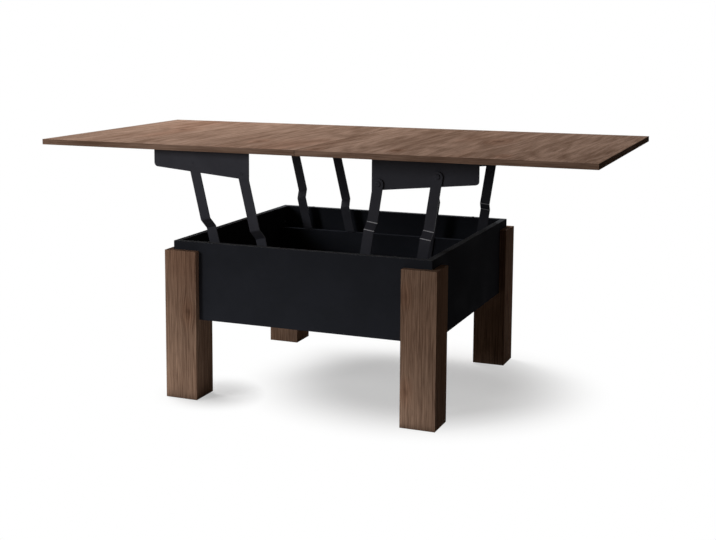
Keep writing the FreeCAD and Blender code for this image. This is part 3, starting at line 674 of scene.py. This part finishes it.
@dataclass(frozen=True)
class Turned:
    """A turned piece, upright on its seat at the origin: an outline, in shares of its size, spun about Z."""

    outline: tuple[Span, ...]
    radius: float = 1.0
    height: float = 1.0
    steps: int = 24

    def mesh(self) -> BMesh:
        """Spin the outline and close its two ends.

        Returns:
            The closed mesh.
        """
        made = bmesh.new()
        chain = [made.verts.new((out * self.radius, 0.0, up * self.height)) for out, up in self.outline]
        edges = [made.edges.new(pair) for pair in zip(chain, chain[1:])]
        bmesh.ops.spin(made, geom=chain + edges, cent=(0.0, 0.0, 0.0), axis=(0.0, 0.0, 1.0),
                       dvec=(0.0, 0.0, 0.0), angle=2 * math.pi, steps=self.steps, use_merge=True)
        bmesh.ops.edgeloop_fill(made, edges=[edge for edge in made.edges if edge.is_boundary])
        bmesh.ops.recalc_face_normals(made, faces=made.faces)
        return made


@dataclass(frozen=True)
class Fastener:
    """A headed fastener, drawn with its head above the origin and its shank below."""

    head_radius: float
    head_height: float
    shank_radius: float
    shank_length: float
    drive: Drive
    drive_radius: float
    drive_depth: float
    tip_share: float = 0.25
    rim_share: float = 0.3
    crown_share: float = 0.62
    lip_share: float = 0.1
    drive_taper: float = 0.85
    cross_arm: float = math.radians(20)
    cross_core: float = 0.42
    dome_turns: tuple[float, ...] = (25.0, 50.0, 72.0, 90.0)

    def mesh(self) -> BMesh:
        """Turn the fastener and sink its recess.

        Returns:
            The closed mesh.
        """
        tip = self.tip_share * self.shank_radius
        crown = self.crown_share * self.head_radius
        rim = self.rim_share * self.head_height
        shank, head, end = self.shank_radius, self.head_radius, -self.shank_length
        outline = [(shank - tip, end), (shank, end + tip), (shank, 0.0), (head, 0.0), (head, rim)]
        for turn in self.dome_turns:
            angle = math.radians(turn)
            outline.append((crown + (head - crown) * math.cos(angle),
                            rim + (self.head_height - rim) * math.sin(angle)))
        made = Turned(tuple(outline)).mesh()
        cap = max(made.faces, key=lambda face: face.calc_center_median().z)
        bmesh.ops.inset_individual(made, faces=[cap], thickness=self.lip_share * crown)
        for vert in cap.verts:
            angle = math.atan2(vert.co.y, vert.co.x)
            reach = self.drive_radius * self._reach_share(angle)
            vert.co.x = reach * math.cos(angle)
            vert.co.y = reach * math.sin(angle)
        floor = bmesh.ops.extrude_discrete_faces(made, faces=[cap])["faces"]
        sunk = list({vert for face in floor for vert in face.verts})
        bmesh.ops.translate(made, vec=(0.0, 0.0, -self.drive_depth), verts=sunk)
        bmesh.ops.scale(made, vec=(self.drive_taper, self.drive_taper, 1.0), verts=sunk)
        bmesh.ops.recalc_face_normals(made, faces=made.faces)
        return made

    def _reach_share(self, angle: float) -> float:
        """How far the recess reaches in a direction.

        Args:
            angle: The direction in radians.

        Returns:
            A share of the recess's radius.
        """
        if self.drive is Drive.HEX:
            sixth = math.pi / 3
            return math.cos(sixth / 2) / math.cos((angle % sixth) - sixth / 2)
        if self.drive is Drive.CROSS:
            quarter = math.pi / 2
            off_arm = abs((angle + quarter / 2) % quarter - quarter / 2)
            return 1.0 if off_arm < self.cross_arm else self.cross_core
        return 1.0


def facing(seat: Sequence[float], direction: Sequence[float]) -> Matrix:
    """Matrix that stands an upright piece on a seat, with its head in a direction."""
    turn = Vector(direction).to_track_quat("Z", "Y").to_matrix().to_4x4()
    return Matrix.Translation(Vector(seat)) @ turn


def both_ends(spots: Iterable[Point], across: int, up: int = 0) -> list[Matrix]:
    """Seats at the front, each with its image at the back, for heads that point along Y and Z."""
    return [facing((x, end * y, z), (0, end * across, up)) for x, y, z in spots for end in (1, -1)]


def settled(mesh: BMesh, name: str) -> bpy.types.Mesh:
    """Turn a mesh in the making into mesh data.

    Args:
        mesh: The mesh, which is used up.
        name: Name of the data.

    Returns:
        The data.
    """
    data = bpy.data.meshes.new(name)
    mesh.to_mesh(data)
    mesh.free()
    return data


def placed(name: str, data: bpy.types.ID) -> bpy.types.Object:
    """Put a new object into the scene.

    Args:
        name: Name of the object.
        data: Its mesh, camera or light.

    Returns:
        The object.
    """
    made = bpy.data.objects.new(name, data)
    bpy.context.scene.collection.objects.link(made)
    return made


def repeated(*batches: tuple[BMesh, Iterable[Matrix]]) -> BMesh:
    """Copies of pieces at several places, in one mesh.

    Args:
        batches: Each piece, which is used up, with the places of its copies.

    Returns:
        The mesh of all copies.
    """
    whole = bmesh.new()
    for pattern, places in batches:
        kept = settled(pattern, "pattern")
        for place in places:
            known = len(whole.verts)
            whole.from_mesh(kept)
            whole.verts.ensure_lookup_table()
            bmesh.ops.transform(whole, matrix=place, verts=whole.verts[known:])
        bpy.data.meshes.remove(kept)
    return whole


@dataclass
class Workshop:
    """Dresses the solids and adds new pieces to the frame."""

    frame: dict
    effects: Effects = field(default_factory=Effects)
    materials: dict[Slot, Material] = field(default_factory=dict)
    smooth_limit: float = math.radians(32)

    def prepare(self) -> None:
        """Make every finish."""
        for finish in FINISHES:
            self.materials[finish.slot] = finish.material(self.effects)
            LOG.info("finish %s", finish.slot.value)

    def dress(self, names: Iterable[str]) -> None:
        """Give solids the finishes that their slots name.

        Args:
            names: The solids' names.
        """
        slots = {part["node"]: Slot(part["material_slot"]) for part in self.frame["record"]["subparts"]}
        for name in names:
            self.cover(name, self.materials[slots[name]])

    def cover(self, name: str, material: Material) -> None:
        """Put a material on a solid.

        Args:
            name: The solid's name.
            material: The material.
        """
        node = self.frame["nodes"][name]
        if not node.material_slots:
            node.data.materials.append(material)
        for slot in node.material_slots:
            slot.material = material
        LOG.info("dressed %s in %s", name, material.name)

    def add(self, name: str, mesh: BMesh, body: str, slot: Slot, *stands_for: str) -> None:
        """Put a new piece on its body, in place of plain solids.

        Args:
            name: The piece's name.
            mesh: Its mesh in place, which is used up.
            body: The body that carries it.
            slot: The slot of its finish.
            stands_for: The solids that it replaces.
        """
        data = settled(mesh, name)
        data.shade_smooth()
        data.set_sharp_from_angle(angle=self.smooth_limit)
        data.materials.append(self.materials[slot])
        piece = placed(name, data)
        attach(piece, body)
        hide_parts(*stands_for)
        LOG.info("made %s, %d faces", name, len(data.polygons))

    def pivot(self, joint: str) -> Point:
        """Where a joint's axis crosses the middle plane, at rest."""
        found = next(item for item in self.frame["joints"] if item["name"] == joint)
        return tuple(found["pos_m"])


@dataclass
class Leaves:
    """The two leaves of the top and the concealed hinges between them."""

    shop: Workshop
    link_leaf: float = 0.0009
    link_step: float = 0.00102
    link_side: float = 0.0048
    link_length: float = 0.014
    link_rounding: float = 0.0019
    rounding_steps: int = 4
    link_count: int = 5
    rivet_radius: float = 0.0008
    rivet_sides: int = 12
    rivet_places: tuple[float, ...] = (0.25, 0.75)
    cup_floor: float = 0.003
    hinge_places: tuple[float, ...] = (-0.3, 0.0, 0.3)

    def build(self) -> None:
        """Dress the boards and cups, and make the hinge links."""
        self.shop.dress(("left_leaf_board", "right_leaf_board", "left_hinge_cups", "right_hinge_cups"))
        low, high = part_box("left_hinge_cups")
        start = low.x + self.cup_floor
        middle = (low.z + high.z) / 2
        places = [Matrix.Translation((start, along, middle)) for along in self.hinge_places]
        self.shop.add("hinge_link_packs", repeated((self._link_pack(), places)), "left_leaf",
                      Slot.HINGE_BRASS, "hinge_links")

    def _link_pack(self) -> BMesh:
        """A folded pack of links with two cross rivets.

        Returns:
            The mesh, from its back end at the origin along +X.
        """
        made = bmesh.new()
        first = -self.link_step * (self.link_count - 1) / 2
        for index in range(self.link_count):
            cube = bmesh.ops.create_cube(made, size=1.0)["verts"]
            bmesh.ops.scale(made, vec=(self.link_length, self.link_leaf, self.link_side), verts=cube)
            offset = (self.link_length / 2, first + index * self.link_step, 0.0)
            bmesh.ops.translate(made, vec=offset, verts=cube)
            across = [edge for edge in {edge for vert in cube for edge in vert.link_edges}
                      if abs(edge.verts[0].co.y - edge.verts[1].co.y) > self.link_leaf / 2]
            bmesh.ops.bevel(made, geom=across, offset=self.link_rounding, offset_type="OFFSET",
                            segments=self.rounding_steps, profile=0.5, material=-1, affect="EDGES")
        lying = Matrix.Rotation(math.pi / 2, 4, "X")
        for along in self.rivet_places:
            bmesh.ops.create_cone(made, cap_ends=True, segments=self.rivet_sides, radius1=self.rivet_radius,
                                  radius2=self.rivet_radius, depth=self.link_step * self.link_count,
                                  matrix=Matrix.Translation((along * self.link_length, 0.0, 0.0)) @ lying)
        bmesh.ops.recalc_face_normals(made, faces=made.faces)
        return made


@dataclass
class StorageBox:
    """The open box with its rails, screws, leg bolts and rim bumpers."""

    shop: Workshop
    bolt_inset: float = 0.044
    bolt_low: float = 0.055
    bolt_high: float = 0.0275
    leg_below_rim: float = 0.025
    bumper_inset: float = 0.109
    wall: float = 0.018
    bumper_radius: float = 0.006
    bumper_height: float = 0.0017
    bumper_outline: tuple[Span, ...] = ((0.94, 0.0), (1.0, 0.12), (0.98, 0.4), (0.86, 0.72), (0.62, 0.92),
                                        (0.3, 1.0))
    bolt: Fastener = Fastener(0.006, 0.003, 0.003, 0.033, Drive.HEX, 0.0026, 0.0017)

    def build(self) -> None:
        """Dress the boards and make the bolts and bumpers."""
        self.shop.dress(("front_panel", "back_panel", "left_panel", "right_panel", "box_floor", "front_rail",
                         "back_rail", "panel_screws", "rail_screws", "floor_dowels"))
        self.shop.add("socket_bolts", repeated((self.bolt.mesh(), self._bolt_places())), "base",
                      Slot.BLACK_STEEL, "leg_bolts")
        dome = Turned(self.bumper_outline, self.bumper_radius, self.bumper_height)
        self.shop.add("domed_bumpers", repeated((dome.mesh(), self._bumper_places())), "base",
                      Slot.BLACK_RUBBER, "rim_bumpers")

    def _bolt_places(self) -> list[Matrix]:
        """Seats of the leg bolts on the inner faces of the walls.

        Returns:
            The seats.
        """
        low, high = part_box("front_panel")
        room = high.x - self.wall
        along = high.x - self.bolt_inset
        heights = (low.z + self.bolt_low, high.z - self.leg_below_rim - self.bolt_high)
        places = []
        for right, back, height in product(BOTH_WAYS, BOTH_WAYS, heights):
            places.append(facing((right * along, back * room, height), (0.0, -back, 0.0)))
            places.append(facing((right * room, back * along, height), (-right, 0.0, 0.0)))
        return places

    def _bumper_places(self) -> list[Matrix]:
        """Seats of the bumpers on the front and back rim."""
        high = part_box("front_panel")[1]
        along = high.x - self.bumper_inset
        across = high.x - self.wall / 2
        return [Matrix.Translation((right * along, back * across, high.z))
                for right, back in product(BOTH_WAYS, BOTH_WAYS)]


@dataclass
class Legs:
    """The four square legs and their glides."""

    shop: Workshop
    names: tuple[str, ...] = ("front_left_leg", "front_right_leg", "back_left_leg", "back_right_leg")
    glide_radius: float = 0.020
    glide_height: float = 0.003
    glide_outline: tuple[Span, ...] = ((0.86, 0.0), (0.95, 0.18), (1.0, 0.5), (1.0, 1.0), (0.5, 1.0))
    glide_steps: int = 40
    glide_inset: float = 0.035

    def build(self) -> None:
        """Dress the legs and make the glides."""
        self.shop.dress(self.names)
        glide = Turned(self.glide_outline, self.glide_radius, self.glide_height, self.glide_steps)
        places = []
        for name in self.names:
            low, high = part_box(name)
            spot = [math.copysign(max(abs(near), abs(far)) - self.glide_inset, near + far)
                    for near, far in zip(low.xy, high.xy)]
            places.append(Matrix.Translation((*spot, 0.0)))
        self.shop.add("round_glides", repeated((glide.mesh(), places)), "base", Slot.BLACK_PLASTIC,
                      "leg_glides")


@dataclass
class LiftLinkage:
    """One linkage: its arms, plates, pivots and plate screws."""

    shop: Workshop
    side: Side
    # Drops below the upper pivots of the bends that get painted highlight lines.
    highlight_drops: tuple[float, ...] = ()
    bend_rise: float = 0.020
    arm_half_width: float = 0.016
    arm_reach: float = 0.0052
    sheet: float = 0.003
    grip: float = 0.012
    screw_inset: float = 0.025
    screws_per_plate: int = 4
    pivot_head: Span = (0.008, 0.0026)
    pivot_radius: float = 0.004
    bolt_drive: Span = (0.0032, 0.0015)
    rivet_drive: Span = (0.0022, 0.0005)
    screw: Fastener = Fastener(0.004, 0.0022, 0.002, 0.011, Drive.CROSS, 0.0021, 0.0012)
    stud: Fastener = Fastener(0.0032, 0.0007, 0.0016, 0.003, Drive.DIMPLE, 0.0012, 0.0005)
    stud_inset: float = 0.012
    stud_drop: float = 0.0545

    def build(self) -> None:
        """Dress the solids and make the pivots and screws."""
        shop, name = self.shop, self.side.value
        steel = shop.materials[Slot.BLACK_STEEL]
        # The right arms get a copy of the steel coat with painted highlight lines at their bends.
        if self.highlight_drops:
            steel = replace(STEEL_COAT, arms=self._bent_arms()).material(shop.effects)
        for hand, end in product(("outer", "inner"), ("front", "back")):
            shop.cover(f"{name}_{hand}_arm_{end}", steel)
        pieces = ("plate_front", "plate_back", "base_washers", "top_washers")
        shop.dress(f"{name}_{piece}" for piece in pieces)
        carrier = "left_leaf" if self.side is Side.LEFT else "right_support"
        lower, upper = self._pivot_places()
        pivot = (*self.pivot_head, self.pivot_radius)
        bolt = Fastener(*pivot, self.arm_reach + self.grip, Drive.HEX, *self.bolt_drive)
        shop.add(f"{name}_pivot_bolts", repeated((bolt.mesh(), lower)), "base", Slot.BLACK_STEEL,
                 f"{name}_base_pins")
        rivet = Fastener(*pivot, self.arm_reach + self.sheet, Drive.DIMPLE, *self.rivet_drive)
        rivets = [(rivet.mesh(), upper)]
        if self.side is Side.RIGHT:
            rivets.append((self.stud.mesh(), self._stud_places()))
        shop.add(f"{name}_pivot_rivets", repeated(*rivets), carrier, Slot.BLACK_STEEL, f"{name}_top_pins")
        if self.side is Side.LEFT:
            made, plain, seats = "flange_screws", "left_plate_screws", self._plate_screw_places()
        else:
            shop.dress(("right_tie_bars", "support_pads"))
            made, plain, seats = "tie_screws", "tie_bar_screws", self._tie_screw_places()
        shop.add(made, repeated((self.screw.mesh(), seats)), carrier, Slot.ZINC, plain)

    def _pivots(self) -> tuple[list[Point], list[Point]]:
        """Lower and upper pivots of the outer and inner arm, in the middle plane.

        Returns:
            The lower pivots and the upper pivots.
        """
        name = self.side.value
        lift = "left_lift" if self.side is Side.LEFT else "right_raise"
        lower = [self.shop.pivot(lift), self.shop.pivot(f"{name}_follow")]
        first = Vector(self.shop.pivot(f"{name}_level"))
        upper = [tuple(first), tuple(first + Vector(lower[1]) - Vector(lower[0]))]
        return lower, upper

    def _bent_arms(self) -> tuple[BentArm, ...]:
        """Where the outer and inner arm are bent, at rest.

        Returns:
            The outer arm and the inner arm.
        """
        bent = []
        for low, high, drop in zip(*self._pivots(), self.highlight_drops):
            down = (Vector(low) - Vector(high)).normalized()
            bent.append(BentArm(high, tuple(down), (drop, drop + self.bend_rise), self.arm_half_width))
        return tuple(bent)

    def _pivot_places(self) -> tuple[list[Matrix], list[Matrix]]:
        """Seats of the heads of the lower bolts and the upper rivets, front and back.

        Returns:
            The bolts' seats and the rivets' seats.
        """
        low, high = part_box("front_rail")
        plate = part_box(f"{self.side.value}_plate_front")[0].y
        if self.side is Side.LEFT:
            bolt_face, rivet_face, outwards = low.y, plate + self.sheet, -1
        else:
            bolt_face, rivet_face, outwards = high.y, plate, 1
        bolt_face += outwards * self.arm_reach
        rivet_face -= outwards * self.arm_reach
        lower, upper = self._pivots()
        return (both_ends([(x, bolt_face, z) for x, _, z in lower], outwards),
                both_ends([(x, rivet_face, z) for x, _, z in upper], -outwards))

    def _plate_screw_places(self) -> list[Matrix]:
        """Seats of the screws under the left plates' flanges."""
        low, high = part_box("left_plate_front")
        return self._screw_row(low, high, high.z - self.sheet, -1)

    def _tie_screw_places(self) -> list[Matrix]:
        """Seats of the screws on the right plates' flanges."""
        low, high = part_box("right_plate_front")
        return self._screw_row(low, high, high.z, 1)

    def _screw_row(self, low: Vector, high: Vector, level: float, up: int) -> list[Matrix]:
        """Seats in a row along a plate's flange, front and back.

        Args:
            low: Lowest corner of the front plate's box.
            high: Its highest corner.
            level: Height of the seats.
            up: Where the heads point along Z.

        Returns:
            The seats.
        """
        first, last = low.x + self.screw_inset, high.x - self.screw_inset
        across = (low.y + high.y) / 2 + self.sheet / 2
        step = (last - first) / (self.screws_per_plate - 1)
        return both_ends([(first + index * step, across, level) for index in range(self.screws_per_plate)],
                         0, up)

    def _stud_places(self) -> list[Matrix]:
        """Seats of the flat rivets in the right plates' thin corners."""
        low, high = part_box("right_plate_front")
        return both_ends([(high.x - self.stud_inset, low.y, high.z - self.stud_drop)], -1)


@dataclass(frozen=True)
class Softbox:
    """A lamp with a flat face: where it stands, what it points at, its width and height, and its watts."""

    name: str
    place: Point
    aim: Point
    size: Span
    power: float

    def build(self) -> None:
        """Set up the lamp, unseen by the camera."""
        data = bpy.data.lights.new(self.name, "AREA")
        data.shape = "RECTANGLE"
        data.size, data.size_y = self.size
        data.energy = self.power
        lamp = placed(self.name, data)
        lamp.location = self.place
        lamp.rotation_euler = (Vector(self.aim) - Vector(self.place)).to_track_quat("-Z", "Y").to_euler()
        lamp.visible_camera = False


@dataclass
class Studio:
    """Floor, light and camera."""

    floor_size: float = 14.0
    floor_drop: float = 0.0002
    floor_colour: Colour = (0.54, 0.54, 0.54, 1.0)
    floor_bounce: Colour = (0.22, 0.175, 0.137, 1.0)
    floor_glow: float = 0.46
    shadow_spots: tuple[tuple[Point, Span], ...] = (
        ((0.22, 0.03, 0.0), (0.22, 0.58)), ((-0.30, -0.31, 0.0), (0.03, 0.20)))
    world_fill: Colour = (1.0, 0.84, 0.70, 1.0)
    world_level: float = 0.085
    lamps: tuple[Softbox, ...] = (
        Softbox("key_softbox", (-2.0, -3.15, 1.5), (0.0, 0.0, 0.35), (0.9, 1.0), 48.0),
        Softbox("side_softbox", (-3.2, -1.2, 1.0), (0.0, 0.1, 0.2), (1.2, 1.2), 8.0),
        Softbox("top_softbox", (-2.0, 1.1, 2.65), (0.0, 0.0, 0.6), (2.2, 2.2), 142.0),
        Softbox("floor_reflector", (-0.18, -0.57, 0.002), (-0.18, -0.57, 1.0), (1.2, 0.28), 1.4))
    image_width: int = 716
    eye: Point = (1.37468, -3.50325, 1.08604)
    turn: float = math.radians(23.6593)
    tilt: float = math.radians(7.3539)
    focal_pixels: float = 1252.55
    shift: Span = (0.08, -0.12)
    sensor: float = 36.0
    clip: Span = (0.05, 100.0)

    def build(self) -> None:
        """Set up everything round the table."""
        self._camera()
        self._world()
        self._floor()
        for lamp in self.lamps:
            lamp.build()
        bpy.context.scene.view_settings.view_transform = "Standard"
        LOG.info("studio ready")

    def _camera(self) -> None:
        """A camera at the photograph's viewing angle."""
        data = bpy.data.cameras.new("camera")
        data.sensor_width = self.sensor
        data.lens = self.focal_pixels * self.sensor / self.image_width
        data.shift_x, data.shift_y = self.shift
        data.clip_start, data.clip_end = self.clip
        level = math.cos(self.tilt)
        forward = Vector((-math.sin(self.turn) * level, math.cos(self.turn) * level, -math.sin(self.tilt)))
        camera = placed("camera", data)
        camera.location = self.eye
        camera.rotation_euler = forward.to_track_quat("-Z", "Y").to_euler()
        bpy.context.scene.camera = camera

    @staticmethod
    def _seen(graph: Graph) -> Socket:
        """1 where the surface is looked at, straight or in a reflection, and 0 where it lights the table.

        Args:
            graph: The tree.

        Returns:
            The mask.
        """
        path = graph.node("ShaderNodeLightPath")
        straight = graph.math("MAXIMUM", path.outputs["Is Camera Ray"], path.outputs["Is Transmission Ray"])
        return graph.math("MAXIMUM", straight, path.outputs["Is Glossy Ray"])

    def _world(self) -> None:
        """White to look at, and a low even light on the table."""
        world = bpy.data.worlds.new("studio")
        world.use_nodes = True
        bpy.context.scene.world = world
        graph = Graph(world.node_tree)
        backdrop = world.node_tree.nodes["Background"]
        seen = self._seen(graph)
        graph.feed(backdrop.inputs["Color"], graph.blend(seen, self.world_fill, WHITE))
        graph.feed(backdrop.inputs["Strength"], graph.choose(seen, self.world_level, 1.0))

    def _floor(self) -> None:
        """A pale floor under the table."""
        made = bmesh.new()
        bmesh.ops.create_grid(made, x_segments=2, y_segments=2, size=self.floor_size / 2)
        bmesh.ops.translate(made, vec=(0.0, 0.0, -self.floor_drop), verts=made.verts)
        data = settled(made, "floor")
        data.materials.append(self._floor_material())
        floor = placed("floor", data)

    def _floor_material(self) -> Material:
        """Paint that fades to white away from the table and keeps its shadow.

        Returns:
            The material.
        """
        shader = Shader("floor")
        seen = self._seen(shader)
        shader.set(Base_Color=shader.blend(seen, self.floor_bounce, self.floor_colour), Roughness=1.0,
                   Specular_IOR_Level=0.0)
        away: Value = 1.0
        for middle, fade in self.shadow_spots:
            offset = shader.vector("SUBTRACT", shader.place(), middle)
            away = shader.math("MINIMUM", away, shader.remap(shader.vector("LENGTH", offset), fade, RISING))
        glow = shader.node("ShaderNodeEmission", {"Strength": shader.math("MULTIPLY", seen, self.floor_glow)})
        white = shader.node("ShaderNodeEmission")
        lit = shader.node("ShaderNodeAddShader", {0: shader.surface.outputs[0], 1: glow.outputs[0]})
        both = shader.node("ShaderNodeMixShader", {0: shader.math("MULTIPLY", seen, away),
                                                   1: lit.outputs[0], 2: white.outputs[0]})
        shader.feed(shader.tree.nodes["Material Output"].inputs["Surface"], both.outputs[0])
        return shader.material


def main() -> None:
    """Build the studio and every sub-assembly."""
    logging.basicConfig(level=logging.INFO, format="%(message)s")
    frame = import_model()
    shop = Workshop(frame)
    shop.prepare()
    Studio().build()
    # The right arms get painted highlight lines at these drops.
    right = LiftLinkage(shop, Side.RIGHT, highlight_drops=(0.1514, 0.1084), screw_inset=0.030,
                        screws_per_plate=2)
    for assembly in (Leaves(shop), StorageBox(shop), Legs(shop), LiftLinkage(shop, Side.LEFT), right):
        assembly.build()
    shop.dress(("arm_stops",))


if __name__ == "__main__":
    main()
